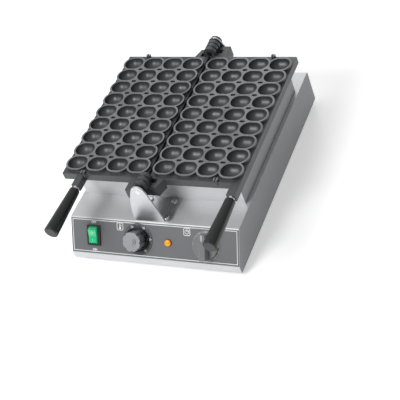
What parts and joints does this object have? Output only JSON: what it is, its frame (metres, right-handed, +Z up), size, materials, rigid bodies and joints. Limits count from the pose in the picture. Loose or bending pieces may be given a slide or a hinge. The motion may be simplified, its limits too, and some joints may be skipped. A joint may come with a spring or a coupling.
{
  "type": "waffle ball maker",
  "caption": "Countertop ball waffle cooker: hinged cast mould halves lie open over a heated stainless box with a sloped control face.",
  "frame": {"origin": "middle of the footprint, on the counter under the feet", "axes": "+X to the user's right, +Y away from the control face to the back, +Z up; the hinge line runs along Y"},
  "size_m": [0.356, 0.5014, 0.1606],
  "materials": {
    "steel": "fine brushed stainless steel",
    "coated_casting": "cast, with a matte dark non-stick coat",
    "black_plastic": "moulded, semi-gloss",
    "plug_plastic": "moulded, matte",
    "metal_cover": "turned or pressed, satin",
    "panel_print": "printed film, satin",
    "green_plastic": "translucent moulding, gloss",
    "amber_plastic": "translucent lens, gloss",
    "foot_rubber": "moulded, matte",
    "ceramic": "fired, unglazed",
    "fibre": "pressed mineral fibre",
    "element_steel": "oxidised heater sheath",
    "copper": "drawn, plain"
  },
  "bodies": {
    "base": {"bottom_cover": "steel", "bracket_bolts": "steel", "bracket_nuts": "steel", "cable_gland": "black_plastic", "capillary_tube": "copper", "casing": "steel", "element_rails": "steel", "foot_nuts": "steel", "foot_screws": "steel", "front_bracket": "steel", "front_hinge_pin": "steel", "front_spacer": "steel", "gland_nut": "black_plastic", "heater_box": "steel", "insulation_mat": "fibre", "lamp_body": "black_plastic", "lamp_lens": "amber_plastic", "left_element_terminals": "ceramic", "left_heating_element": "element_steel", "pan_posts": "steel", "panel_overlay": "panel_print", "rear_bracket": "steel", "rear_hinge_pin": "steel", "rear_spacer": "steel", "reflector_pan": "metal_cover", "right_element_terminals": "ceramic", "right_heating_element": "element_steel", "rubber_feet": "foot_rubber", "sensing_bulb": "copper", "switch_body": "black_plastic", "temperature_dial": "metal_cover", "terminal_block": "ceramic", "thermostat_body": "black_plastic", "timer_body": "black_plastic", "timer_dial": "metal_cover"},
    "left_half": {"left_mould": "coated_casting", "left_handle_stud": "steel", "left_grip": "black_plastic", "left_end_plug": "plug_plastic"},
    "right_half": {"right_mould": "coated_casting", "right_handle_stud": "steel", "right_grip": "black_plastic", "right_end_plug": "plug_plastic"},
    "rocker_button": {"rocker": "green_plastic"},
    "thermostat_dial": {"thermostat_knob": "black_plastic", "thermostat_knob_cover": "metal_cover", "thermostat_shaft": "steel"},
    "timer_dial_knob": {"timer_knob": "black_plastic", "timer_shaft": "steel"}
  },
  "joints": [
    {"name": "left_hinge", "type": "hinge", "parent": "base", "child": "left_half", "pos_m": [-0.0024, 0.039, 0.14765], "axis": [0, 1, 0], "range_deg": [0, 180]},
    {"name": "right_hinge", "type": "hinge", "parent": "base", "child": "right_half", "pos_m": [-0.0024, 0.039, 0.14765], "axis": [0, -1, 0], "range_deg": [0, 180]},
    {"name": "rocker_tilt", "type": "hinge", "parent": "base", "child": "rocker_button", "pos_m": [-0.1216, -0.17577, 0.04686], "axis": [1, 0, 0], "range_deg": [-16, 0]},
    {"name": "thermostat_turn", "type": "hinge", "parent": "base", "child": "thermostat_dial", "pos_m": [-0.0304, -0.1789, 0.04836], "axis": [0, 0.7975, -0.6033], "range_deg": [0, 300]},
    {"name": "timer_turn", "type": "hinge", "parent": "base", "child": "timer_dial_knob", "pos_m": [0.1027, -0.17999, 0.04692], "axis": [0, 0.7975, -0.6033], "range_deg": [0, 330]}
  ]
}
